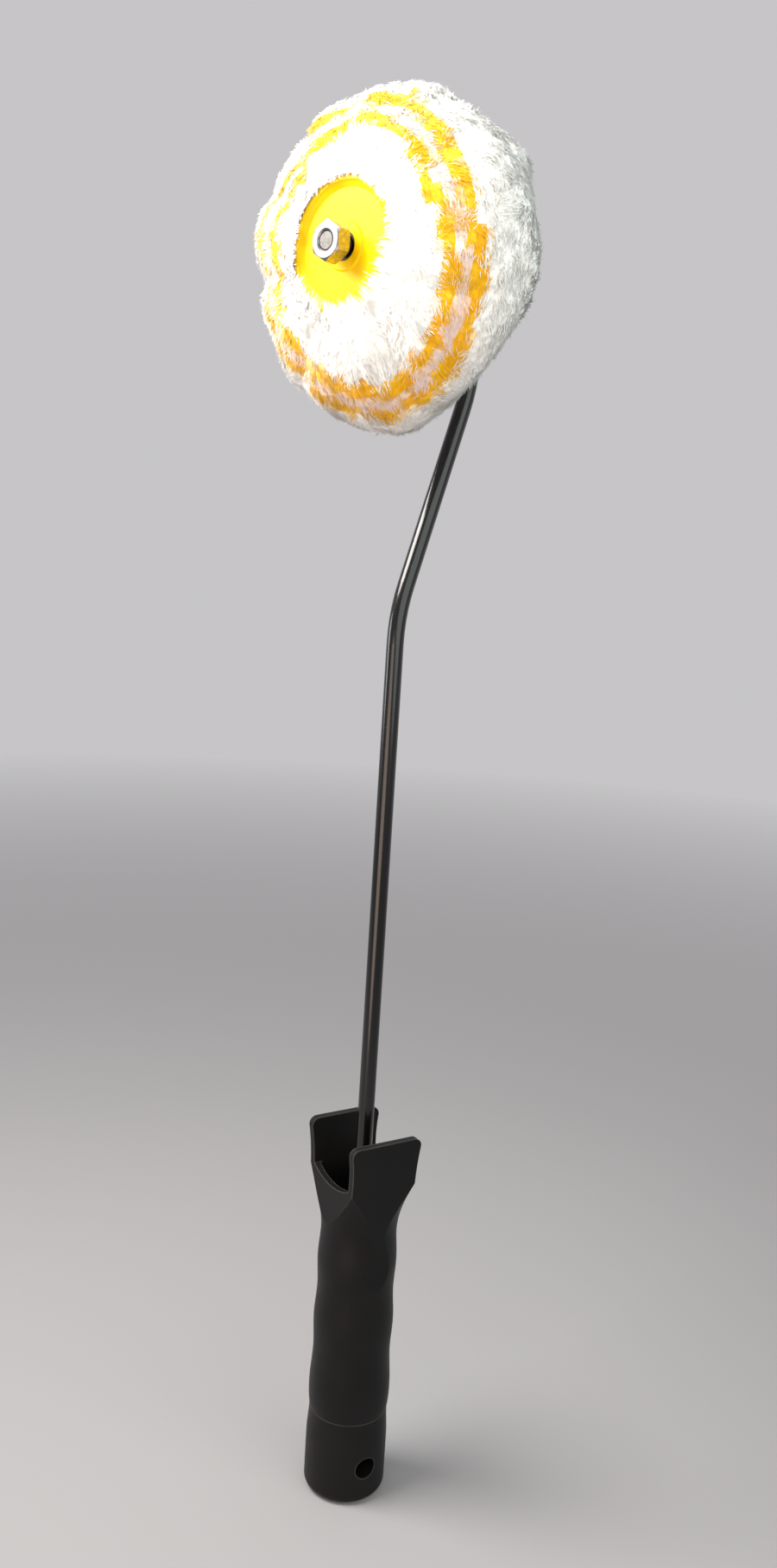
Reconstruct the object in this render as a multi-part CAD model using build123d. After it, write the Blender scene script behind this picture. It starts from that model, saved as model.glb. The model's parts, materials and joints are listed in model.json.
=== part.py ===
from build123d import *
from math import cos, pi, tan
import os

# Small paint roller on a bent wire frame, in millimetres.
# The origin is the middle of the hanging hole, on the handle's axis, and +Z runs up the handle.
# The roller turns about an axle along Y: its nut is at the -Y end and the wire comes round the +Y end.

# Wire frame
ROD_R = 2.75
AXLE_HEIGHT = 394.6
FIRST_BEND_HEIGHT = 291.3
SECOND_BEND_HEIGHT = 365.2
LEG_OFFSET = 29.6
GENTLE_BEND_R = 50.0
CORNER_BEND_R = 10.0
WIRE_FOOT_HEIGHT = 34.0
FOOT_EAR_LENGTH = 10.0
FOOT_EAR_WIDTH = 8.4
FOOT_EAR_THICKNESS = 3.6
STOP_EAR_LENGTH = 3.0
STOP_EAR_WIDTH = 9.0
STOP_EAR_THICKNESS = 4.0
EAR_EDGE_R = 1.2
THREAD_PITCH = 1.0
THREAD_TURNS = 7
THREAD_ROOT_R = 2.35

# Places along the axle, measured as Y
NUT_FACE = -41.0
NUT_THICKNESS = 5.0
ROD_END = -40.6
FRONT_RIM = -34.0
ROLLER_MIDDLE = -11.5
REAR_WASHER_FACE = 14.4
WASHER_THICKNESS = 1.2

# Nut and washer
NUT_ACROSS_FLATS = 10.0
NUT_WASHER_FACE_R = 4.75
NUT_MOUTH = 0.45
WASHER_R = 6.5
WASHER_EDGE_R = 0.2

# Roller
RUNNING_CLEARANCE = 0.05
BUSH_R = 4.1
BUSH_LENGTH = 12.0
BUSH_RECESS = 0.7
BUSH_EDGE = 0.35
HUB_R = 7.0
HUB_DEPTH = 14.0
HUB_STEP = 0.8
CAP_R = 19.4
CAP_LIP = 2.0
CAP_RIM_WIDTH = 2.2
CAP_EDGE = 0.5
DISH_DEPTH = 1.3
DISH_OUTER_R = 15.8
DISH_INNER_R = 10.2
WEB_THICKNESS = 1.8
SPIGOT_LENGTH = 9.0
SPIGOT_WALL = 1.8
CORE_BORE_R = 19.05
CORE_WALL = 1.55

# Pile cover, a soft solid that stays clear of its neighbours
COVER_R = 49.0
COVER_HALF_LENGTH = 25.5
COVER_ROUNDNESS = 2.4
COVER_OUTLINE_STEPS = 8
SOFT_GAP = 0.35
CORE_GAP = 0.1

# Handle
HANDLE_TWIST = -18.0
END_HEIGHT = -13.2
END_R = 14.05
END_ROUNDING = 3.0
HANG_HOLE_R = 3.75
WAVE_PITCH = 22.4
TOP_WAVE_HEIGHT = 72.8
WAVE_DEPTH = 0.27
SEAM_HEIGHT = TOP_WAVE_HEIGHT - 2.5 * WAVE_PITCH
GRIP_MEAN_R_LOW = 13.78
GRIP_MEAN_R_HIGH = 13.25
NECK_HEIGHT = 84.0
NECK_R = 12.95
FORK_TOP = 119.2
RIM_LOW_HEIGHT = 100.6
RIM_SIDE_HEIGHT = 105.6
FLARE_HEIGHT = 102.6
FORK_HALF_DEPTH = 15.08
FORK_HALF_WIDTH = 13.6
FORK_WALL = 2.5
FORK_CORNER_R = 2.6
TONGUE_HALF_DEPTH = 12.6
CAVITY_FLOOR = 62.0
CAVITY_R = 10.4
GRIP_BORE_R = 9.0
END_SPIGOT_LENGTH = 9.0

on_axle = Pos(0, 0, AXLE_HEIGHT) * Rot(-90, 0, 0)
on_handle = Rot(0, 0, HANDLE_TWIST)


def turned(*outline):
    """Solid of revolution about Z from the (radius, height) corners of its half section."""
    section = make_face(Plane.XZ * Polyline(*outline, close=True))
    return revolve(section, Axis.Z)


def ring(inner_r, outer_r, low, high):
    """Plain ring or tube about Z."""
    return turned((inner_r, low), (outer_r, low), (outer_r, high), (inner_r, high))


# ---------------------------------------------------------------- wire frame

def bent_rod():
    """The rod, swept along straight runs joined by tangent arcs, from its foot to the thread."""
    thread_start = ROD_END + THREAD_PITCH * THREAD_TURNS
    route = FilletPolyline(
        (0, 0, WIRE_FOOT_HEIGHT),
        (0, 0, FIRST_BEND_HEIGHT),
        (0, LEG_OFFSET, SECOND_BEND_HEIGHT),
        (0, LEG_OFFSET, AXLE_HEIGHT),
        (0, thread_start, AXLE_HEIGHT),
        radius=[GENTLE_BEND_R, GENTLE_BEND_R, CORNER_BEND_R],
    )
    section = Plane(origin=(0, 0, WIRE_FOOT_HEIGHT), z_dir=(0, 0, 1)) * Circle(ROD_R)
    return sweep(section, path=route)


def thread():
    """Thread at the rod's end, as a row of V-shaped rings at the thread's pitch."""
    outline = [(0, 0)]
    for turn in range(THREAD_TURNS):
        outline.append((THREAD_ROOT_R, turn * THREAD_PITCH))
        outline.append((ROD_R, (turn + 0.5) * THREAD_PITCH))
    outline.append((THREAD_ROOT_R, THREAD_TURNS * THREAD_PITCH))
    outline.append((0, THREAD_TURNS * THREAD_PITCH))
    return on_axle * Pos(0, 0, ROD_END) * turned(*outline)


def foot_ears():
    """The rod's foot, pressed flat so that it can't turn or pull out of its plug."""
    ears = Box(FOOT_EAR_WIDTH, FOOT_EAR_THICKNESS, FOOT_EAR_LENGTH)
    ears = fillet(ears.edges().filter_by(Axis.Y), EAR_EDGE_R)
    return Pos(0, 0, WIRE_FOOT_HEIGHT + 1.5 * FOOT_EAR_LENGTH) * ears


def stop_ears():
    """Two ears pressed out of the axle, which stop the rear washer."""
    ears = Box(STOP_EAR_THICKNESS, STOP_EAR_LENGTH, STOP_EAR_WIDTH)
    ears = fillet(ears.edges().filter_by(Axis.X), EAR_EDGE_R)
    start = REAR_WASHER_FACE + WASHER_THICKNESS
    return Pos(0, start + STOP_EAR_LENGTH / 2, AXLE_HEIGHT) * ears


def wire_frame():
    return bent_rod() + thread() + foot_ears() + stop_ears()


def rear_washer():
    blank = ring(ROD_R, WASHER_R, 0, WASHER_THICKNESS)
    blank = fillet(blank.edges().filter_by(GeomType.CIRCLE).group_by(SortBy.RADIUS)[-1], WASHER_EDGE_R)
    return on_axle * Pos(0, 0, REAR_WASHER_FACE) * blank


def hex_nut():
    """Hexagon nut, with the corners turned off at 30 degrees on both faces."""
    corner_r = NUT_ACROSS_FLATS / 2 / cos(pi / 6)
    turned_off = (corner_r - NUT_WASHER_FACE_R) * tan(pi / 6)
    blank = extrude(RegularPolygon(corner_r, 6, rotation=30), NUT_THICKNESS)
    envelope = turned(
        (0, 0),
        (NUT_WASHER_FACE_R, 0),
        (corner_r, turned_off),
        (corner_r, NUT_THICKNESS - turned_off),
        (NUT_WASHER_FACE_R, NUT_THICKNESS),
        (0, NUT_THICKNESS),
    )
    bore = turned(
        (0, 0),
        (ROD_R + NUT_MOUTH, 0),
        (ROD_R, NUT_MOUTH),
        (ROD_R, NUT_THICKNESS - NUT_MOUTH),
        (ROD_R + NUT_MOUTH, NUT_THICKNESS),
        (0, NUT_THICKNESS),
    )
    return on_axle * Pos(0, 0, NUT_FACE) * (blank & envelope - bore)


# ---------------------------------------------------------------- roller

def end_cap():
    """Dished cap with its rim plane at height 0 and its spigot and hub running up Z into the core."""
    web_back = DISH_DEPTH + WEB_THICKNESS
    outline_outside = [
        (BUSH_R, HUB_STEP),
        (HUB_R - CAP_EDGE, HUB_STEP),
        (HUB_R, HUB_STEP + CAP_EDGE),
        (DISH_INNER_R, DISH_DEPTH),
        (DISH_OUTER_R, DISH_DEPTH),
        (CAP_R - CAP_RIM_WIDTH, CAP_EDGE),
        (CAP_R - CAP_RIM_WIDTH + CAP_EDGE, 0),
        (CAP_R - CAP_EDGE, 0),
        (CAP_R, CAP_EDGE),
        (CAP_R, CAP_LIP),
    ]
    outline_inside = [
        (CORE_BORE_R, CAP_LIP),
        (CORE_BORE_R, CAP_LIP + SPIGOT_LENGTH - CAP_EDGE),
        (CORE_BORE_R - CAP_EDGE, CAP_LIP + SPIGOT_LENGTH),
        (CORE_BORE_R - SPIGOT_WALL, CAP_LIP + SPIGOT_LENGTH),
        (CORE_BORE_R - SPIGOT_WALL, web_back),
        (HUB_R, web_back),
        (HUB_R, HUB_DEPTH),
        (BUSH_R, HUB_DEPTH),
    ]
    return turned(*outline_outside, *outline_inside)


def bush():
    """Plain bush that sits a little below the hub's face and runs on the rod."""
    bore_r = ROD_R + RUNNING_CLEARANCE
    start = HUB_STEP + BUSH_RECESS
    return turned(
        (bore_r + BUSH_EDGE, start),
        (BUSH_R, start),
        (BUSH_R, start + BUSH_LENGTH),
        (bore_r, start + BUSH_LENGTH),
        (bore_r, start + BUSH_EDGE),
    )


def at_front(piece):
    """Place an end-cap piece at the nut's end of the roller."""
    return on_axle * Pos(0, 0, FRONT_RIM) * piece


def at_rear(piece):
    """Place the same piece at the wire's end, facing the other way."""
    rear_rim = 2 * ROLLER_MIDDLE - FRONT_RIM
    return on_axle * Pos(0, 0, rear_rim) * Rot(180, 0, 0) * piece


def core_tube():
    half_length = ROLLER_MIDDLE - FRONT_RIM - CAP_LIP
    tube = ring(CORE_BORE_R, CORE_BORE_R + CORE_WALL, -half_length, half_length)
    return on_axle * Pos(0, 0, ROLLER_MIDDLE) * tube


def cover_reach(radius):
    """Half length of the cover at a radius: a superellipse, which is an oval with fuller shoulders."""
    n = COVER_ROUNDNESS
    return COVER_HALF_LENGTH * (1 - (radius / COVER_R) ** n) ** (1 / n)


def pile_cover():
    """Soft solid of the plush cover: a fat ring round the core whose ends close over the core's ends."""
    fold_r = CAP_R + SOFT_GAP
    bore_r = CORE_BORE_R + CORE_WALL + CORE_GAP
    core_end = ROLLER_MIDDLE - FRONT_RIM - CAP_LIP + CORE_GAP
    step = (COVER_R - fold_r) / COVER_OUTLINE_STEPS
    radii = [fold_r + step * i for i in range(COVER_OUTLINE_STEPS)]
    radii.append(COVER_R - step / 3)
    rear_side = [(r, cover_reach(r)) for r in radii]
    front_side = [(r, -cover_reach(r)) for r in reversed(radii)]
    crown = Spline(*rear_side, (COVER_R, 0), *front_side)
    hollow = Polyline(
        front_side[-1],
        (fold_r, -core_end),
        (bore_r, -core_end),
        (bore_r, core_end),
        (fold_r, core_end),
        rear_side[0],
    )
    section = make_face(Plane.XZ * Curve([crown, hollow]))
    return on_axle * Pos(0, 0, ROLLER_MIDDLE) * revolve(section, Axis.Z)


# ---------------------------------------------------------------- handle

def wavy_grip():
    """Turned body of the grip: crests and troughs at the finger pitch, a neck, and a flare for the fork."""
    waves = []
    for half_wave in range(6):
        height = SEAM_HEIGHT + half_wave * WAVE_PITCH / 2
        mean_r = GRIP_MEAN_R_LOW + half_wave / 5 * (GRIP_MEAN_R_HIGH - GRIP_MEAN_R_LOW)
        side = 1 if half_wave % 2 else -1
        waves.append((mean_r + side * WAVE_DEPTH, height))
    flare = [
        (NECK_R, NECK_HEIGHT),
        (NECK_R + 1.2, NECK_HEIGHT + 7.5),
        (NECK_R + 4.0, NECK_HEIGHT + 15),
        (NECK_R + 7.8, NECK_HEIGHT + 23),
    ]
    skin = Spline(*waves, *flare)
    widest, top = flare[-1]
    rest = Polyline((widest, top), (widest, FORK_TOP), (0, FORK_TOP), (0, SEAM_HEIGHT), waves[0])
    return revolve(make_face(Plane.XZ * Curve([skin, rest])), Axis.Z)


def depth_slab(inset):
    """Slab between the fork's two flat faces, which runs out in a tongue on the grip."""
    right = [
        (TONGUE_HALF_DEPTH + 2.2 - inset, CAVITY_FLOOR - 3),
        (TONGUE_HALF_DEPTH - inset, CAVITY_FLOOR + 9),
        (TONGUE_HALF_DEPTH + 0.1 - inset, NECK_HEIGHT),
        (FORK_HALF_DEPTH - 0.9 - inset, FLARE_HEIGHT),
        (FORK_HALF_DEPTH - inset, FORK_TOP),
    ]
    left = [(-x, z) for x, z in reversed(right)]
    outline = [Spline(*right), Line(right[-1], left[0]), Spline(*left), Line(left[-1], right[0])]
    return extrude(make_face(Plane.XZ * Curve(outline)), 30, both=True)


def width_slab(inset):
    """Slab between the fork's two edges, with the plates' top corners rounded."""
    right = [
        (END_R + 1.5 - inset, CAVITY_FLOOR - 3),
        (END_R - 0.8 - inset, NECK_HEIGHT + 4),
        (FORK_HALF_WIDTH - 1.3 - inset, FLARE_HEIGHT - 3),
        (FORK_HALF_WIDTH - inset, FORK_TOP),
    ]
    left = [(-y, z) for y, z in reversed(right)]
    outline = [Spline(*right), Line(right[-1], left[0]), Spline(*left), Line(left[-1], right[0])]
    face = make_face(Curve(outline))
    corners = face.vertices().group_by(Axis.Y)[-1]
    face = fillet(corners, FORK_CORNER_R)
    return extrude(Plane.YZ * face, 30, both=True)


def grip_below_fork():
    """Everything under the slabs' lower end stays round."""
    return Pos(0, 0, CAVITY_FLOOR - 3) * Box(60, 60, 100, align=(Align.CENTER, Align.CENTER, Align.MAX))


def cavity():
    """Hollow neck: a round pit that opens up to the rim, one wall thickness inside the skin."""
    pit = turned(
        (0, CAVITY_FLOOR),
        (CAVITY_R, CAVITY_FLOOR),
        (CAVITY_R, NECK_HEIGHT + 4),
        (CAVITY_R + 4.5, FLARE_HEIGHT),
        (CAVITY_R + 4.5, FORK_TOP),
        (0, FORK_TOP),
    )
    return pit & depth_slab(FORK_WALL) & width_slab(FORK_WALL - 0.3)


def fork_gap():
    """The open gap between the two plates, above a rim that sags in the middle of each side."""
    half = FORK_HALF_DEPTH
    over = FORK_TOP + 5
    rim = ThreePointArc((-half, RIM_SIDE_HEIGHT), (0, RIM_LOW_HEIGHT), (half, RIM_SIDE_HEIGHT))
    rest = Polyline((half, RIM_SIDE_HEIGHT), (half, over), (-half, over), (-half, RIM_SIDE_HEIGHT))
    slot = extrude(make_face(Plane.XZ * Curve([rim, rest])), 30, both=True)
    return slot & depth_slab(FORK_WALL)


def handle_grip():
    body = wavy_grip()
    flats = depth_slab(0) & width_slab(0)
    body = (body & grip_below_fork()) + (body & flats)
    body = body - cavity() - fork_gap()
    body = body - ring(0, GRIP_BORE_R, SEAM_HEIGHT - 1, CAVITY_FLOOR + 1)
    return on_handle * body


def handle_end():
    """End piece: a drum with a rounded foot, a spigot up into the grip and the hanging hole across it."""
    seam_r = GRIP_MEAN_R_LOW - WAVE_DEPTH
    crest_height = SEAM_HEIGHT - WAVE_PITCH / 2
    foot_side = (END_R, END_HEIGHT + END_ROUNDING)
    foot_edge = (END_R - END_ROUNDING, END_HEIGHT)
    spigot_top = SEAM_HEIGHT + END_SPIGOT_LENGTH
    outline = [
        Spline((seam_r, SEAM_HEIGHT), (END_R, crest_height), tangents=[(0, -1), (0, -1)]),
        Line((END_R, crest_height), foot_side),
        RadiusArc(foot_side, foot_edge, END_ROUNDING),
        Polyline(foot_edge, (0, END_HEIGHT), (0, spigot_top), (GRIP_BORE_R, spigot_top)),
        Polyline((GRIP_BORE_R, spigot_top), (GRIP_BORE_R, SEAM_HEIGHT), (seam_r, SEAM_HEIGHT)),
    ]
    drum = revolve(make_face(Plane.XZ * Curve(outline)), Axis.Z)
    hole = Rot(0, 90, 0) * Cylinder(HANG_HOLE_R, 4 * END_R)
    return on_handle * (drum - hole)


def shank_plug(wire):
    """Plug in the hollow grip, shaped round the rod and its flattened foot."""
    plug = ring(0, GRIP_BORE_R, SEAM_HEIGHT + END_SPIGOT_LENGTH + 1, CAVITY_FLOOR)
    return plug - wire


# ---------------------------------------------------------------- export

wire = wire_frame()
parts = {
    "handle_grip": handle_grip(),
    "handle_end": handle_end(),
    "shank_plug": shank_plug(wire),
    "wire_frame": wire,
    "rear_washer": rear_washer(),
    "hex_nut": hex_nut(),
    "front_end_cap": at_front(end_cap()),
    "rear_end_cap": at_rear(end_cap()),
    "front_bush": at_front(bush()),
    "rear_bush": at_rear(bush()),
    "core_tube": core_tube(),
    "pile_cover": pile_cover(),
}

os.makedirs("parts", exist_ok=True)
for node, shape in parts.items():
    export_step(shape, f"parts/{node}.step")
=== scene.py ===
import json
import math

import bpy
import numpy as np
from mathutils import Matrix, Vector


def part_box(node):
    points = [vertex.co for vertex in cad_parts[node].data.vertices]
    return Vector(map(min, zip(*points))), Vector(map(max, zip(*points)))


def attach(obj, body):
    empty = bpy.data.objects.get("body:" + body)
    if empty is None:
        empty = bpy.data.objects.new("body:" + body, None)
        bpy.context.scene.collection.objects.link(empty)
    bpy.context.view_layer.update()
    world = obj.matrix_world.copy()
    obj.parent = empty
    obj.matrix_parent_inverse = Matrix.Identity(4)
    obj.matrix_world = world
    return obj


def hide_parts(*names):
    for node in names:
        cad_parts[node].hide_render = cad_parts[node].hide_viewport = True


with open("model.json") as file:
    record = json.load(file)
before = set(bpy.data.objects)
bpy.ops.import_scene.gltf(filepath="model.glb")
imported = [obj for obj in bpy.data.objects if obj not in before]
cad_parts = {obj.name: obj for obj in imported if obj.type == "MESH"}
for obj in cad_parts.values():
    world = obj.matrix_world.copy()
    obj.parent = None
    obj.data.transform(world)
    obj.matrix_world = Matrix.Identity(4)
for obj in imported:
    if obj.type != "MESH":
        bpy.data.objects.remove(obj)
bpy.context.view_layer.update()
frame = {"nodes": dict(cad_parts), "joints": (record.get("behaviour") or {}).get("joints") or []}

MM = 0.001
NODES = frame["nodes"]

# ---------------------------------------------------------------- places read from the frame

AXLE = Vector(frame["joints"][0]["pos_m"])
COVER_LOW, COVER_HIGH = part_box("pile_cover")
COVER_R = (COVER_HIGH.x - COVER_LOW.x) / 2
CAP_LOW, CAP_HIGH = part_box("front_end_cap")
CAP_R = (CAP_HIGH.x - CAP_LOW.x) / 2
CORE_LOW, CORE_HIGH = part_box("core_tube")
CORE_R = (CORE_HIGH.x - CORE_LOW.x) / 2
CORE_REACH = (CORE_HIGH.y - CORE_LOW.y) / 2
HANDLE_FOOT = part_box("handle_end")[0].z

# ---------------------------------------------------------------- the plush cover's own sizes

# The knitted ground: its half section is a superellipse that ends in a fold behind the cap's rim.
GROUND_R = COVER_R - 1.3 * MM
GROUND_REACH = 24.5 * MM
ROUNDNESS = 2.4
FOLD_R = CAP_R - 0.5 * MM
CORE_CLEARANCE = 0.2 * MM
INNER_WALL_R = CORE_R + CORE_CLEARANCE
INNER_WALL_REACH = CORE_REACH + CORE_CLEARANCE
PROFILE_SAMPLES = 801
GROUND_COLUMNS = 530
OUTER_ROWS = 170
INNER_ROWS = 14

# The pile. Its real fibres are about 0.03 mm thick; a strand stands for a lock of them, drawn at
# 0.27 mm so that it shows.
PILE_LENGTH = 3.1 * MM
TUFT_SPACING = 3.1 * MM
ROW_SPACING = 0.88 * TUFT_SPACING
TUFT_RELIEF = 0.35 * MM
STRANDS_PER_TUFT = 34
STRAND_WIDTH = 0.27 * MM
STRAND_CORNERS = 7
ROOT_DEPTH = 0.5 * MM
DROOP = np.array([0.0, 0.0, -0.35])
STRANDS_PER_PIECE = 19000
SEED = 11

# The two stripes: distance between their middles, and width of each.
STRIPE_GAP = 8.2 * MM
STRIPE_WIDTH = 4.5 * MM
STRIPE_STRAY = 0.3 * MM
FAR_FROM_STRIPES = 1.0

# Gathers of the cover's end: angle round the axle in degrees, depth in mm and half width in degrees.
# They are deeper on the side where the slack was drawn together.
FOLDS = [
    (128, 4.4, 6), (151, 2.4, 5), (188, 4.6, 6), (212, 1.6, 5), (238, 2.6, 6), (262, 1.2, 6),
    (298, 2.8, 5), (340, 2.0, 6), (38, 2.0, 6), (74, 1.2, 6), (101, 1.6, 6),
]

# Where the stuffed shape stands out or falls in: angle in degrees, place along the half section as a
# share from -1 at the front fold to 1 at the rear one, half width in degrees, height in mm.
SWELLS = [
    (170, -0.45, 17, 2.6), (117, -0.35, 9, 2.0), (32, 0.30, 5, 1.4),
    (57, 0.10, 15, -2.6), (14, 0.35, 14, -1.8), (313, 0.42, 22, -6.5), (279, 0.05, 12, 1.4),
    (240, -0.2, 8, -1.2),
]

# How far the middle between the two stripes lies from the front fold, in mm, at angles in degrees.
STRIPE_PATH = [
    (0, 20.5), (32, 16.6), (46, 17.4), (80, 21.0), (112, 17.5), (140, 13.5), (172, 13.0), (204, 14.0),
    (232, 18.0), (269, 24.5), (294, 28.5), (327, 25.0), (349, 22.6),
]


# ---------------------------------------------------------------- materials

def linear(hex_colour):
    """An sRGB hex colour as a linear RGBA colour."""
    shares = [int(hex_colour[i:i + 2], 16) / 255 for i in (1, 3, 5)]
    return tuple(s / 12.92 if s <= 0.04045 else ((s + 0.055) / 1.055) ** 2.4 for s in shares) + (1.0,)


def add(tree, kind, inputs=None, out=0, **settings):
    """Add a node with its settings and hand back one of its outputs. inputs maps its sockets to values
    or to other nodes' outputs."""
    node = tree.nodes.new(kind)
    for name, value in settings.items():
        setattr(node, name, value)
    for name, value in (inputs or {}).items():
        if isinstance(value, bpy.types.NodeSocket):
            tree.links.new(value, node.inputs[name])
        else:
            node.inputs[name].default_value = value
    return node.outputs[out] if len(node.outputs) else None


def new_material(name):
    """An empty material and its node tree."""
    material = bpy.data.materials.new(name)
    material.use_nodes = True
    material.node_tree.nodes.clear()
    return material, material.node_tree


def worn_and_highlit_edges(tree, radius_mm, start, end):
    """1 on the convex and concave edges: how far the rounded normal turns from the true one."""
    rounded = add(tree, "ShaderNodeBevel", {"Radius": radius_mm * MM}, samples=6)
    plain = add(tree, "ShaderNodeNewGeometry", out="Normal")
    cosine = add(tree, "ShaderNodeVectorMath", {0: rounded, 1: plain}, out="Value", operation="DOT_PRODUCT")
    return add(tree, "ShaderNodeMapRange", {"Value": cosine, "From Min": 1.0 - start, "From Max": 1.0 - end})


def moulded_black_polypropylene():
    """Matt black polypropylene from a spark-eroded mould: fine grain, dull patches, and paler edges that are
    partly rubbed wear and partly a painted highlight.
    """
    material, tree = new_material("moulded_black_polypropylene")
    place = add(tree, "ShaderNodeTexCoord", out="Object")
    patches = add(tree, "ShaderNodeTexNoise", {
        "Vector": place, "Scale": 1 / (22 * MM), "Detail": 4.0, "Roughness": 0.55})
    # The mould's grain is about 0.15 mm, drawn at 0.5 mm so that it shows.
    grain = add(tree, "ShaderNodeTexNoise", {
        "Vector": place, "Scale": 1 / (0.5 * MM), "Detail": 2.0, "Roughness": 0.55})
    darker = add(tree, "ShaderNodeMapRange", {"Value": patches, "From Min": 0.35, "From Max": 0.7})
    clean = add(tree, "ShaderNodeMix", {
        0: darker, 6: linear("#0b0a0b"), 7: linear("#121111")}, out=2, data_type="RGBA")
    handled = add(tree, "ShaderNodeMapRange", {
        "Value": patches, "From Min": 0.3, "From Max": 0.6, "To Min": 0.25, "To Max": 0.8})
    # The paler edges stand partly for rubbed wear and partly for a painted highlight on the corners.
    edges = worn_and_highlit_edges(tree, 0.7, 0.02, 0.25)
    rubbed = add(tree, "ShaderNodeMath", {0: edges, 1: handled}, operation="MULTIPLY")
    colour = add(tree, "ShaderNodeMix", {0: rubbed, 6: clean, 7: linear("#5e5b59")}, out=2, data_type="RGBA")
    dullness = add(tree, "ShaderNodeMapRange", {
        "Value": patches, "From Min": 0.3, "From Max": 0.7, "To Min": 0.42, "To Max": 0.56})
    relief = add(tree, "ShaderNodeBump", {"Height": grain, "Distance": 0.05 * MM, "Strength": 0.5})
    surface = add(tree, "ShaderNodeBsdfPrincipled", {
        "Base Color": colour, "Roughness": dullness, "Normal": relief,
        "IOR": 1.49, "Specular IOR Level": 0.22})
    add(tree, "ShaderNodeOutputMaterial", {"Surface": surface})
    return material


def moulded_black_plastic(name, colour):
    """Plain moulded nylon or acetal: smoother and a little glossier than the grip."""
    material, tree = new_material(name)
    place = add(tree, "ShaderNodeTexCoord", out="Object")
    patches = add(tree, "ShaderNodeTexNoise", {
        "Vector": place, "Scale": 1 / (4 * MM), "Detail": 3.0, "Roughness": 0.55})
    shade = add(tree, "ShaderNodeMix", {
        0: patches, 6: linear(colour), 7: linear("#3a3633")}, out=2, data_type="RGBA")
    dullness = add(tree, "ShaderNodeMapRange", {
        "Value": patches, "From Min": 0.3, "From Max": 0.7, "To Min": 0.3, "To Max": 0.45})
    surface = add(tree, "ShaderNodeBsdfPrincipled", {"Base Color": shade, "Roughness": dullness, "IOR": 1.5})
    add(tree, "ShaderNodeOutputMaterial", {"Surface": surface})
    return material


def black_enamelled_wire():
    """Gloss black enamel on steel: long thin highlights, a little orange peel, a few rubbed specks,
    and bare grey steel where the thread was cut after painting, mottled dark partly by stains and
    partly by painted shade."""
    material, tree = new_material("black_enamelled_wire")
    place = add(tree, "ShaderNodeTexCoord", out="Object")
    peel = add(tree, "ShaderNodeTexNoise", {
        "Vector": place, "Scale": 1 / (2.5 * MM), "Detail": 2.0, "Roughness": 0.55})
    specks = add(tree, "ShaderNodeTexNoise", {
        "Vector": place, "Scale": 1 / (1.6 * MM), "Detail": 5.0, "Roughness": 0.7})
    rubbed = add(tree, "ShaderNodeMapRange", {"Value": specks, "From Min": 0.70, "From Max": 0.74})
    along = add(tree, "ShaderNodeSeparateXYZ", {0: place}, out="Y")
    thread_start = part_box("hex_nut")[1].y + 3 * MM
    bare = add(tree, "ShaderNodeMapRange", {
        "Value": along, "From Min": thread_start, "From Max": thread_start - 0.3 * MM})
    metal = add(tree, "ShaderNodeMath", {0: rubbed, 1: bare}, operation="MAXIMUM")
    # The dark mottling of the bare steel is partly stains and partly painted shade, standing for the shade
    # in a recessed thread end.
    stains_and_painted_shade = add(tree, "ShaderNodeTexNoise", {
        "Vector": place, "Scale": 1 / (0.8 * MM), "Detail": 5.0, "Roughness": 0.55})
    steel = add(tree, "ShaderNodeMix", {
        0: stains_and_painted_shade, 6: linear("#262525"), 7: linear("#8a8784")}, out=2, data_type="RGBA")
    colour = add(tree, "ShaderNodeMix", {0: metal, 6: linear("#0b0a0b"), 7: steel}, out=2, data_type="RGBA")
    dullness = add(tree, "ShaderNodeMapRange", {"Value": metal, "To Min": 0.2, "To Max": 0.45})
    relief = add(tree, "ShaderNodeBump", {"Height": peel, "Distance": 0.02 * MM, "Strength": 0.35})
    surface = add(tree, "ShaderNodeBsdfPrincipled", {
        "Base Color": colour, "Metallic": metal, "Roughness": dullness, "Normal": relief,
        "Coat Weight": 0.25, "Coat Roughness": 0.08})
    add(tree, "ShaderNodeOutputMaterial", {"Surface": surface})
    return material


def zinc_plated_steel():
    """Bright zinc plate on a pressed nut: silvery, with fine turning scratches and dull spots."""
    material, tree = new_material("zinc_plated_steel")
    place = add(tree, "ShaderNodeTexCoord", out="Object")
    spots = add(tree, "ShaderNodeTexNoise", {
        "Vector": place, "Scale": 1 / (1.4 * MM), "Detail": 5.0, "Roughness": 0.65})
    # The scratches are under 0.05 mm wide, drawn at about 0.1 mm so that they show.
    squeezed = add(tree, "ShaderNodeMapping", {"Vector": place, "Scale": (1.0, 6.0, 1.0)})
    scratches = add(tree, "ShaderNodeTexNoise", {
        "Vector": squeezed, "Scale": 1 / (0.5 * MM), "Detail": 4.0, "Roughness": 0.7})
    spotted = add(tree, "ShaderNodeMapRange", {"Value": spots, "From Min": 0.35, "From Max": 0.7})
    colour = add(tree, "ShaderNodeMix", {
        0: spotted, 6: linear("#a9a9ac"), 7: linear("#747376")}, out=2, data_type="RGBA")
    dullness = add(tree, "ShaderNodeMapRange", {
        "Value": spots, "From Min": 0.3, "From Max": 0.7, "To Min": 0.22, "To Max": 0.4})
    relief = add(tree, "ShaderNodeBump", {"Height": scratches, "Distance": 0.02 * MM, "Strength": 0.4})
    surface = add(tree, "ShaderNodeBsdfPrincipled", {
        "Base Color": colour, "Metallic": 1.0, "Roughness": dullness, "Normal": relief})
    add(tree, "ShaderNodeOutputMaterial", {"Surface": surface})
    return material


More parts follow.
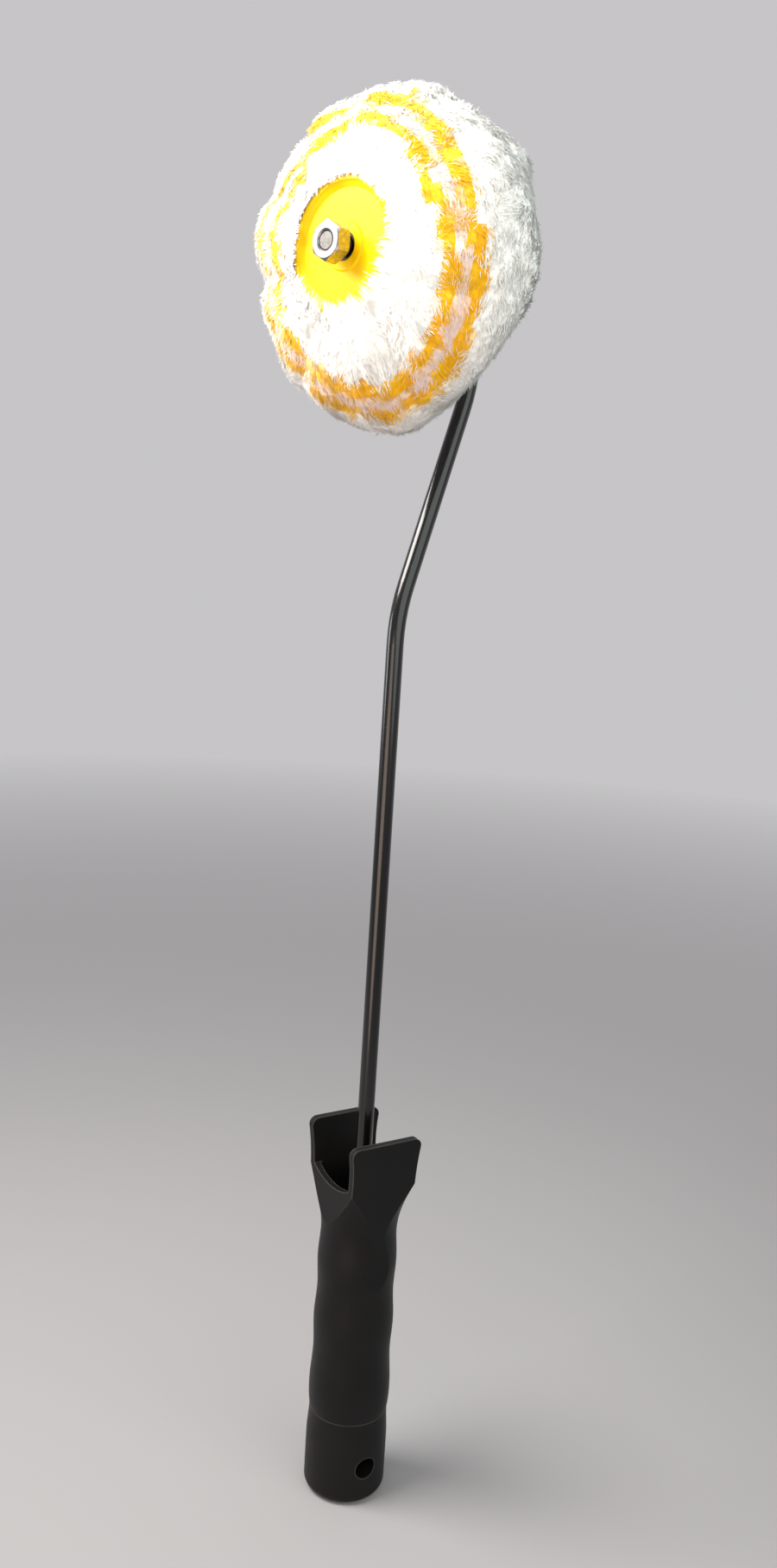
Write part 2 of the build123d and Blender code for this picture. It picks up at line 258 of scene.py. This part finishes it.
def moulded_yellow_polypropylene():
    """Satin yellow polypropylene: strong colour, faint flow marks and soft gloss."""
    material, tree = new_material("moulded_yellow_polypropylene")
    place = add(tree, "ShaderNodeTexCoord", out="Object")
    flow = add(tree, "ShaderNodeTexNoise", {
        "Vector": place, "Scale": 1 / (9 * MM), "Detail": 4.0, "Roughness": 0.55})
    # The mould's polish marks are about 0.1 mm, drawn at 0.7 mm so that they show.
    polish = add(tree, "ShaderNodeTexNoise", {
        "Vector": place, "Scale": 1 / (0.7 * MM), "Detail": 3.0, "Roughness": 0.55})
    marks = add(tree, "ShaderNodeMapRange", {"Value": flow, "From Min": 0.3, "From Max": 0.7})
    colour = add(tree, "ShaderNodeMix", {
        0: marks, 6: linear("#fdc400"), 7: linear("#ffce00")}, out=2, data_type="RGBA")
    dullness = add(tree, "ShaderNodeMapRange", {
        "Value": flow, "From Min": 0.3, "From Max": 0.7, "To Min": 0.28, "To Max": 0.4})
    relief = add(tree, "ShaderNodeBump", {"Height": polish, "Distance": 0.02 * MM, "Strength": 0.35})
    surface = add(tree, "ShaderNodeBsdfPrincipled", {
        "Base Color": colour, "Roughness": dullness, "Normal": relief,
        "IOR": 1.49, "Specular IOR Level": 0.2})
    add(tree, "ShaderNodeOutputMaterial", {"Surface": surface})
    return material


def resin_board():
    """Brown resin-soaked board of the core tube, with its paper fibres."""
    material, tree = new_material("resin_board")
    place = add(tree, "ShaderNodeTexCoord", out="Object")
    fibres = add(tree, "ShaderNodeTexNoise", {
        "Vector": place, "Scale": 1 / (1.2 * MM), "Detail": 6.0, "Roughness": 0.7})
    colour = add(tree, "ShaderNodeMix", {
        0: fibres, 6: linear("#a1794d"), 7: linear("#7c5a37")}, out=2, data_type="RGBA")
    relief = add(tree, "ShaderNodeBump", {"Height": fibres, "Distance": 0.1 * MM, "Strength": 0.4})
    surface = add(tree, "ShaderNodeBsdfPrincipled", {
        "Base Color": colour, "Roughness": 0.7, "Normal": relief})
    add(tree, "ShaderNodeOutputMaterial", {"Surface": surface})
    return material


def stripe_colour(tree):
    """White pile with two golden stripes and a pale blush between them, from the 'pile' attribute:
    its X is the distance in metres from the middle between the stripes, its Y a random share."""
    pile = add(tree, "ShaderNodeAttribute", out="Vector", attribute_name="pile")
    off_middle = add(tree, "ShaderNodeSeparateXYZ", {0: pile}, out="X")
    share = add(tree, "ShaderNodeSeparateXYZ", {0: pile}, out="Y")
    distance = add(tree, "ShaderNodeMath", {0: off_middle}, operation="ABSOLUTE")
    past_stripe = add(tree, "ShaderNodeMath", {0: distance, 1: STRIPE_GAP / 2}, operation="SUBTRACT")
    off_stripe = add(tree, "ShaderNodeMath", {0: past_stripe}, operation="ABSOLUTE")
    edge = STRIPE_WIDTH / 2
    on_stripe = add(tree, "ShaderNodeMapRange", {
        "Value": off_stripe, "From Min": edge + 0.2 * MM, "From Max": edge - 0.2 * MM})
    inside = add(tree, "ShaderNodeMapRange", {
        "Value": past_stripe, "From Min": 0.3 * MM, "From Max": -0.3 * MM})
    white, blush, gold = (
        add(tree, "ShaderNodeMix", {0: share, 6: linear(first), 7: linear(second)}, out=2, data_type="RGBA")
        for first, second in (("#f4f2ee", "#fdfcf9"), ("#f0d3c6", "#f9e6dc"), ("#f7b10a", "#ffc81e")))
    ground = add(tree, "ShaderNodeMix", {0: inside, 6: white, 7: blush}, out=2, data_type="RGBA")
    return add(tree, "ShaderNodeMix", {0: on_stripe, 6: ground, 7: gold}, out=2, data_type="RGBA")


def plush_ground():
    """Knitted polyester ground that carries the pile: bright white yarn, matt and fuzzy."""
    material, tree = new_material("plush_ground")
    place = add(tree, "ShaderNodeTexCoord", out="Object")
    # The yarn's fibres are about 0.03 mm thick, drawn at 0.6 mm so that they show.
    fuzz = add(tree, "ShaderNodeTexNoise", {
        "Vector": place, "Scale": 1 / (0.6 * MM), "Detail": 4.0, "Roughness": 0.7})
    relief = add(tree, "ShaderNodeBump", {"Height": fuzz, "Distance": 0.3 * MM, "Strength": 0.3})
    surface = add(tree, "ShaderNodeBsdfPrincipled", {
        "Base Color": stripe_colour(tree), "Normal": relief, "Roughness": 0.85,
        "Specular IOR Level": 0.25, "Sheen Weight": 0.3, "Sheen Roughness": 0.5})
    add(tree, "ShaderNodeOutputMaterial", {"Surface": surface})
    return material


def plush_strands():
    """Locks of polyester pile: bright white yarn, matt, with a soft sheen where it turns away."""
    material, tree = new_material("plush_strands")
    surface = add(tree, "ShaderNodeBsdfPrincipled", {
        "Base Color": stripe_colour(tree), "Roughness": 0.85, "Specular IOR Level": 0.25,
        "Sheen Weight": 0.3, "Sheen Roughness": 0.5})
    add(tree, "ShaderNodeOutputMaterial", {"Surface": surface})
    return material


def give(material, *names):
    """Give CAD nodes a material."""
    for name in names:
        slots = NODES[name].data.materials
        slots.clear()
        slots.append(material)


# ---------------------------------------------------------------- the plush cover

def profile_table():
    """The cover's ground half section as arrays (distance along it, radius, reach along the axle).
    It is a superellipse: radius and reach are powers of the cosine and sine of one angle."""
    widest = math.acos((FOLD_R / GROUND_R) ** (ROUNDNESS / 2))
    angle = np.linspace(-widest, widest, PROFILE_SAMPLES)
    power = 2 / ROUNDNESS
    radius = GROUND_R * np.cos(angle) ** power
    reach = GROUND_REACH * np.sign(angle) * np.abs(np.sin(angle)) ** power
    steps = np.hypot(np.diff(radius), np.diff(reach))
    distance = np.concatenate([[0], np.cumsum(steps)])
    return distance - distance[-1] / 2, radius, reach


PROFILE = profile_table()
HALF_ARC = PROFILE[0][-1]


def turn_from(around, degrees):
    """Signed turn in degrees from a direction round the axle, between -180 and 180."""
    return (np.degrees(around) - degrees + 180) % 360 - 180


def gathers(around, along):
    """Depth of the gathers in metres: each fold is a valley that falls off as an exponential of the
    turn from its line. They run over the front shoulder, fade out on the crown, and return smaller on
    the rear shoulder. Their lines lean, so that they aren't plain spokes, and each valley's bottom is
    rounded over about a degree."""
    share = along / HALF_ARC
    rounding = 1.5
    lean = 14 * (share + 0.5)
    rear_lean = 9
    front = np.exp(-((share + 0.42) / 0.30) ** 2) + 0.35 * np.exp(-((share + 0.85) / 0.15) ** 2)
    rear = 0.7 * np.exp(-((share - 0.50) / 0.26) ** 2)
    depth = np.zeros(np.shape(around))
    for number, (degrees, fold_depth, half_width) in enumerate(FOLDS):
        side = 1 if number % 2 else -1
        turn = turn_from(around, degrees + side * lean)
        turn_rear = turn_from(around, degrees + rear_lean * side)
        valley = np.exp(-np.sqrt(turn ** 2 + rounding) / half_width)
        valley_rear = np.exp(-np.sqrt(turn_rear ** 2 + rounding) / half_width)
        depth = depth + fold_depth * MM * (valley * front + valley_rear * rear)
    return depth


def swells(around, along):
    """Height in metres by which the stuffed shape stands out: two low waves round the axle and a sum
    of bell-shaped hills."""
    half_reach = 0.30
    height = 0.35 * MM * np.sin(3 * around + 1.0) + 0.3 * MM * np.sin(7 * around + 9 * along / HALF_ARC)
    for degrees, share, half_width, hill in SWELLS:
        turn = turn_from(around, degrees) / half_width
        reach = (along / HALF_ARC - share) / half_reach
        height = height + hill * MM * np.exp(-turn ** 2 - reach ** 2)
    return height


def ground_point(around, along, lift=0.0):
    """Points of the cover's ground at angles around the axle and distances along its half section.
    The profile's radius and reach are moved along their own normal by the swells, less the gathers,
    which both fade out over the last 4 mm before a fold."""
    radius = np.interp(along, PROFILE[0], PROFILE[1])
    reach = np.interp(along, PROFILE[0], PROFILE[2])
    step = 0.2 * MM
    ahead, behind = along + step, along - step
    slope_r = np.interp(ahead, PROFILE[0], PROFILE[1]) - np.interp(behind, PROFILE[0], PROFILE[1])
    slope_y = np.interp(ahead, PROFILE[0], PROFILE[2]) - np.interp(behind, PROFILE[0], PROFILE[2])
    length = np.hypot(slope_r, slope_y) + 1e-12
    at_fold = np.clip((HALF_ARC - np.abs(along)) / (4 * MM), 0, 1)
    move = (swells(around, along) - gathers(around, along)) * at_fold + lift
    radius = radius + move * slope_y / length
    reach = reach - move * slope_r / length
    return np.stack([
        AXLE.x + radius * np.cos(around),
        AXLE.y + reach,
        AXLE.z + radius * np.sin(around)], axis=-1)


def unit(vectors):
    """Vectors divided by their own lengths."""
    return vectors / (np.linalg.norm(vectors, axis=-1, keepdims=True) + 1e-12)


def ground_frame(around, along):
    """Point, outward normal and rearward surface direction, from differences of the ground's formula."""
    step = 0.4 * MM
    turn = 0.01
    point = ground_point(around, along)
    towards_rear = unit(ground_point(around, along + step) - ground_point(around, along - step))
    sideways = unit(ground_point(around + turn, along) - ground_point(around - turn, along))
    normal = unit(np.cross(towards_rear, sideways))
    return point, normal, towards_rear


class Tufts:
    """The knit's tufts: rows along the half section, and in each row as many tufts, evenly spaced, as
    its circumference holds. Every point of the cover belongs to the nearest tuft of its nearest row."""

    def __init__(self):
        rng = np.random.default_rng(SEED)
        self.rows = int(2 * HALF_ARC / ROW_SPACING)
        self.row_step = 2 * HALF_ARC / self.rows
        self.row_along = -HALF_ARC + (np.arange(self.rows) + 0.5) * self.row_step
        radius = np.interp(self.row_along, PROFILE[0], PROFILE[1])
        self.in_row = np.round(2 * np.pi * radius / TUFT_SPACING).astype(int)
        self.first = np.concatenate([[0], np.cumsum(self.in_row)[:-1]])
        self.start = rng.random(self.rows) * 2 * np.pi
        self.count = int(self.in_row.sum())
        row = np.repeat(np.arange(self.rows), self.in_row)
        place = np.arange(self.count) - self.first[row]
        self.along = self.row_along[row]
        self.around = self.start[row] + place * 2 * np.pi / self.in_row[row]
        self.share = rng.random(self.count)
        self.stray = rng.normal(0, 1, (self.count, 2))
        self.stripe = stripe_distance(self.around, self.along) + STRIPE_STRAY * self.stray[:, 0]

    def nearest(self, around, along):
        """The number of each point's tuft, and its distance in metres from the tuft's middle."""
        row = np.clip(((along + HALF_ARC) / self.row_step).astype(int), 0, self.rows - 1)
        width = 2 * np.pi / self.in_row[row]
        place = np.round((around - self.start[row]) / width)
        radius = np.interp(along, PROFILE[0], PROFILE[1])
        off_around = (around - self.start[row] - place * width) * radius
        off_along = along - self.row_along[row]
        return self.first[row] + place.astype(int) % self.in_row[row], np.hypot(off_around, off_along)


def stripe_distance(around, along):
    """Distance along the half section from the middle between the two stripes, which follow a path
    that swings forwards and back, because the cover was gathered unevenly on its core."""
    degrees, from_fold = np.array(STRIPE_PATH).T
    middle = np.interp(np.degrees(around) % 360, degrees, from_fold, period=360) * MM - HALF_ARC
    return along - middle


def mesh_piece(name, points, faces, material, pile=None, soft_normal=None):
    """A mesh object from numpy arrays of points and of faces that all have the same number of corners.
    A soft normal is the direction that each point is lit from, where it isn't the faces' own."""
    corners = faces.shape[1]
    mesh = bpy.data.meshes.new(name)
    mesh.vertices.add(len(points))
    mesh.vertices.foreach_set("co", points.astype(np.float32).ravel())
    mesh.loops.add(faces.size)
    mesh.loops.foreach_set("vertex_index", faces.astype(np.int32).ravel())
    mesh.polygons.add(len(faces))
    mesh.polygons.foreach_set("loop_start", np.arange(0, faces.size, corners, dtype=np.int32))
    mesh.polygons.foreach_set("use_smooth", np.ones(len(faces), bool))
    mesh.update(calc_edges=True)
    mesh.validate()
    if pile is not None:
        layer = mesh.attributes.new("pile", "FLOAT_VECTOR", "POINT")
        layer.data.foreach_set("vector", pile.astype(np.float32).ravel())
    if soft_normal is not None:
        layer = mesh.attributes.new("custom_normal", "FLOAT_VECTOR", "POINT")
        layer.data.foreach_set("vector", soft_normal.astype(np.float32).ravel())
    mesh.materials.append(material)
    piece = bpy.data.objects.new(name, mesh)
    bpy.context.scene.collection.objects.link(piece)
    return piece


def ring_faces(rows, columns):
    """Quads of a grid that is closed both ways, as a torus is."""
    row, column = np.meshgrid(np.arange(rows), np.arange(columns), indexing="ij")
    next_row, next_column = (row + 1) % rows, (column + 1) % columns
    quads = [row * columns + column, next_row * columns + column,
             next_row * columns + next_column, row * columns + next_column]
    return np.stack(quads, axis=-1).reshape(-1, 4)


def cover_ground(tufts):
    """The cover's ground: the gathered outer skin with a low round hill for each tuft, closed by a
    plain tube against the core."""
    turn = np.linspace(0, 2 * np.pi, GROUND_COLUMNS, endpoint=False)
    along = np.linspace(-HALF_ARC, HALF_ARC, OUTER_ROWS)
    around_grid, along_grid = np.meshgrid(turn, along)
    tuft, off_middle = tufts.nearest(around_grid, along_grid)
    hill = np.clip(1 - (off_middle / (0.62 * TUFT_SPACING)) ** 2, 0, 1)
    outer = ground_point(around_grid, along_grid, TUFT_RELIEF * (hill - 0.5))
    reach = np.linspace(INNER_WALL_REACH, -INNER_WALL_REACH, INNER_ROWS)
    around_in, reach_in = np.meshgrid(turn, reach)
    inner = np.stack([
        AXLE.x + INNER_WALL_R * np.cos(around_in),
        AXLE.y + reach_in,
        AXLE.z + INNER_WALL_R * np.sin(around_in)], axis=-1)
    points = np.concatenate([outer, inner]).reshape(-1, 3)
    stripes = np.concatenate([tufts.stripe[tuft].ravel(), np.full(around_in.size, FAR_FROM_STRIPES)])
    share = np.concatenate([tufts.share[tuft].ravel(), np.full(around_in.size, 0.5)])
    pile = np.stack([stripes, share, np.zeros(len(points))], axis=-1)
    faces = ring_faces(OUTER_ROWS + INNER_ROWS, GROUND_COLUMNS)
    outwards = ground_frame(around_grid, along_grid)[1]
    to_axle = np.stack([-np.cos(around_in), 0 * around_in, -np.sin(around_in)], axis=-1)
    soft_normal = np.concatenate([outwards, to_axle]).reshape(-1, 3)
    return mesh_piece("cover_ground", points, faces, plush_ground(), pile, soft_normal)


def strand_points(root, normal, lean, length, width, pull, tuft_tip):
    """Three-sided strands, one side of which faces outwards. The middle line rises along the normal
    less and less, as a parabola, while it runs along lean, and its upper part is drawn to the tuft's
    tip; the width tapers to a point."""
    def middle(share):
        up = 0.55 * share * (1 - 0.45 * share)
        free = root + normal * (length * up)[:, None] + lean * (length * share ** 1.4)[:, None]
        return free + (tuft_tip - free) * (pull * share ** 2)[:, None]
    run = unit(middle(0.6) - middle(0.1))
    side = unit(np.cross(run, normal))
    out = np.cross(side, run)
    spoke = np.stack([-out, 0.5 * out - 0.87 * side, 0.5 * out + 0.87 * side], axis=1)
    rings = [middle(level)[:, None, :] + spoke * (width * thick)[:, None, None] / 2
             for level, thick in ((0.0, 1.0), (0.55, 0.8))]
    return np.concatenate(rings + [middle(1.0)[:, None, :]], axis=1)


def strand_faces(count):
    """Triangles of count strands: a ring of three points at the root, one higher up, then the tip."""
    one = [(2, 1, 0)]
    for k in range(3):
        after = (k + 1) % 3
        one += [(k, after, after + 3), (k, after + 3, k + 3), (k + 3, after + 3, 6)]
    return (np.array(one)[None] + STRAND_CORNERS * np.arange(count)[:, None, None]).reshape(-1, 3)


def wander(points, seed):
    """A slowly changing direction: each component is a sum of sines along random directions."""
    rng = np.random.default_rng(seed)
    total = np.zeros(points.shape)
    for wave in (9 * MM, 14 * MM, 22 * MM):
        for axis in range(3):
            direction = unit(rng.normal(0, 1, 3))
            total[:, axis] += np.sin(points @ direction * 2 * np.pi / wave + 6.28 * rng.random())
    return total / 3


def pile_strands(tufts):
    """The pile: each tuft's strands stand close together and lean the same way. The lie turns in over
    the cap at the front fold and outwards and down elsewhere, and it wanders a little."""
    rng = np.random.default_rng(SEED + 1)
    t_around = tufts.around + 0.22 * tufts.stray[:, 0] * TUFT_SPACING / GROUND_R
    t_along = np.clip(tufts.along + 0.18 * tufts.stray[:, 1] * TUFT_SPACING, -HALF_ARC, HALF_ARC)
    t_root, t_normal, t_rearward = ground_frame(t_around, t_along)
    from_fold = HALF_ARC - np.abs(t_along)
    towards_axle = t_rearward * np.sign(t_along)[:, None]
    inward = np.exp(-(from_fold / (4.5 * MM)) ** 2)[:, None]
    outward = (1 - inward) * (np.abs(t_along) / HALF_ARC)[:, None]
    lie = (3.0 * inward - 0.5 * outward) * towards_axle
    lie = lie + (0.55 * wander(t_root, SEED) + DROOP) * (1 - 0.8 * inward)
    lie = lie - t_normal * np.sum(lie * t_normal, axis=1, keepdims=True)
    t_lean = 0.8 * unit(lie) + rng.normal(0, 0.08, lie.shape)
    below = 0.5 - 0.5 * np.sin(t_around + 0.1)
    at_fold = 1 + (1.4 * below - 0.4) * inward[:, 0]
    t_length = PILE_LENGTH * rng.uniform(0.85, 1.15, tufts.count) * at_fold
    t_tip = t_root + (0.3 * t_normal + t_lean) * t_length[:, None]

    owner = np.repeat(np.arange(tufts.count), STRANDS_PER_TUFT)
    spread = TUFT_SPACING * 0.38
    radius = np.interp(t_along, PROFILE[0], PROFILE[1])[owner]
    around = t_around[owner] + rng.normal(0, spread, len(owner)) / radius
    along = np.clip(t_along[owner] + rng.normal(0, spread, len(owner)), -HALF_ARC, HALF_ARC)
    root, normal = ground_frame(around, along)[:2]
    length = t_length[owner] * rng.uniform(0.7, 1.1, len(owner))
    lean = t_lean[owner] + rng.normal(0, 0.12, (len(owner), 3))
    width = STRAND_WIDTH * rng.uniform(0.75, 1.25, len(owner))
    pull = rng.uniform(0.05, 0.35, len(owner))
    sunk = root - normal * ROOT_DEPTH
    points = strand_points(sunk, normal, lean, length, width, pull, t_tip[owner])
    share = np.clip(0.6 * tufts.share[owner] + 0.4 * rng.random(len(owner)), 0, 1)
    facts = np.stack([tufts.stripe[owner], share, np.zeros(len(owner))], axis=-1)
    return points, normal, facts, along


def cover_pile(tufts):
    """The strands as pieces, each a band of the half section from the front fold to the rear one."""
    points, normal, facts, along = pile_strands(tufts)
    material = plush_strands()
    order = np.argsort(along, kind="stable")
    made = []
    bands = math.ceil(len(order) / STRANDS_PER_PIECE)
    for number, chosen in enumerate(np.array_split(order, bands)):
        pile = np.repeat(facts[chosen], STRAND_CORNERS, axis=0)
        soft_normal = np.repeat(normal[chosen], STRAND_CORNERS, axis=0)
        made.append(mesh_piece(f"pile_band_{number + 1}", points[chosen].reshape(-1, 3),
                               strand_faces(len(chosen)), material, pile, soft_normal))
    return made


# ---------------------------------------------------------------- floor, light and camera

FLOOR_GAP = 0.2 * MM
FLOOR_FADE_START = 0.35
FLOOR_FADE_END = 1.6
CAMERA_PLACE = (0.27257, -0.32292, 0.3106)
CAMERA_LOOK = (-0.6342, 0.7538, -0.1721)
CAMERA_UP = (-0.1583, 0.0913, 0.9832)
CAMERA_LENS_MM = 30.6
SENSOR_MM = 36.0


def pale_floor():
    """Plain matt floor just under the handle's foot, which fades into the room's own pale grey."""
    material, tree = new_material("pale_matt_floor")
    place = add(tree, "ShaderNodeTexCoord", out="Object")
    reach = add(tree, "ShaderNodeVectorMath", {0: place}, out="Value", operation="LENGTH")
    faded = add(tree, "ShaderNodeMapRange", {
        "Value": reach, "From Min": FLOOR_FADE_START, "From Max": FLOOR_FADE_END})
    matt = add(tree, "ShaderNodeBsdfPrincipled", {"Base Color": linear("#a09fa1"), "Roughness": 0.9})
    clear = add(tree, "ShaderNodeBsdfTransparent")
    surface = add(tree, "ShaderNodeMixShader", {0: faded, 1: matt, 2: clear})
    add(tree, "ShaderNodeOutputMaterial", {"Surface": surface})
    half_side = 4.0
    height = HANDLE_FOOT - FLOOR_GAP
    corners = np.array([[-1, -1, 0], [1, -1, 0], [1, 1, 0], [-1, 1, 0]]) * half_side + [0, 0, height]
    floor = mesh_piece("floor", corners, np.array([[0, 1, 2, 3]]), material)


def soft_light(name, place, target, size, power, colour):
    """Round soft lamp that shines from place to target and isn't seen itself."""
    lamp = bpy.data.lights.new(name, "AREA")
    lamp.shape = "DISK"
    lamp.size = size
    lamp.energy = power
    lamp.color = linear(colour)[:3]
    holder = bpy.data.objects.new(name, lamp)
    holder.location = place
    holder.rotation_euler = (Vector(target) - Vector(place)).to_track_quat("-Z", "Y").to_euler()
    holder.visible_camera = False
    bpy.context.scene.collection.objects.link(holder)


def world_light():
    """Pale grey room, brighter behind the roller than in front of it."""
    world = bpy.data.worlds.new("pale_room")
    world.use_nodes = True
    tree = world.node_tree
    tree.nodes.clear()
    direction = add(tree, "ShaderNodeTexCoord", out="Generated")
    backwards = add(tree, "ShaderNodeVectorMath", {0: direction, 1: (-0.5, 0.85, 0.15)}, out="Value",
                    operation="DOT_PRODUCT")
    strength = add(tree, "ShaderNodeMapRange", {
        "Value": backwards, "From Min": -0.6, "From Max": 0.8, "To Min": 0.45, "To Max": 0.72})
    light = add(tree, "ShaderNodeBackground", {"Color": linear("#e6e4e6"), "Strength": strength})
    add(tree, "ShaderNodeOutputWorld", {"Surface": light})
    bpy.context.scene.world = world


def main_camera():
    """Camera on the nut's side, between the handle and the roller in height, looking a little down."""
    camera_data = bpy.data.cameras.new("camera")
    camera_data.sensor_width = SENSOR_MM
    camera_data.lens = CAMERA_LENS_MM
    camera_data.clip_start = 0.01
    camera = bpy.data.objects.new("camera", camera_data)
    look = Vector(CAMERA_LOOK).normalized()
    right = look.cross(Vector(CAMERA_UP)).normalized()
    up = right.cross(look)
    turned = Matrix((right, up, -look)).transposed().to_4x4()
    camera.matrix_world = Matrix.Translation(Vector(CAMERA_PLACE)) @ turned
    bpy.context.scene.collection.objects.link(camera)
    bpy.context.scene.camera = camera


# ---------------------------------------------------------------- the scene

main_camera()
pale_floor()
world_light()
soft_light("key", (-0.17, -0.23, 0.62), AXLE, 0.34, 5.1, "#fffbf4")
soft_light("right", (0.37, -0.10, 0.48), AXLE, 0.6, 1.5, "#f4fff9")
soft_light("side", (-0.60, -0.45, 0.30), (0, 0, 0.2), 0.3, 1.2, "#ffffff")
soft_light("low", (0.12, -0.42, 0.16), AXLE, 0.34, 0.8, "#ffe3cf")
bpy.context.scene.view_settings.view_transform = "Standard"

black = moulded_black_polypropylene()
give(black, "handle_grip", "handle_end")
give(moulded_black_plastic("moulded_black_nylon", "#2b2a2a"), "shank_plug")
give(moulded_black_plastic("moulded_dark_acetal", "#1c1613"), "front_bush", "rear_bush")
give(black_enamelled_wire(), "wire_frame")
give(zinc_plated_steel(), "hex_nut", "rear_washer")
give(moulded_yellow_polypropylene(), "front_end_cap", "rear_end_cap")
give(resin_board(), "core_tube")

tufts = Tufts()
ground = cover_ground(tufts)
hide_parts("pile_cover")
for piece in [ground, *cover_pile(tufts)]:
    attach(piece, "roller")
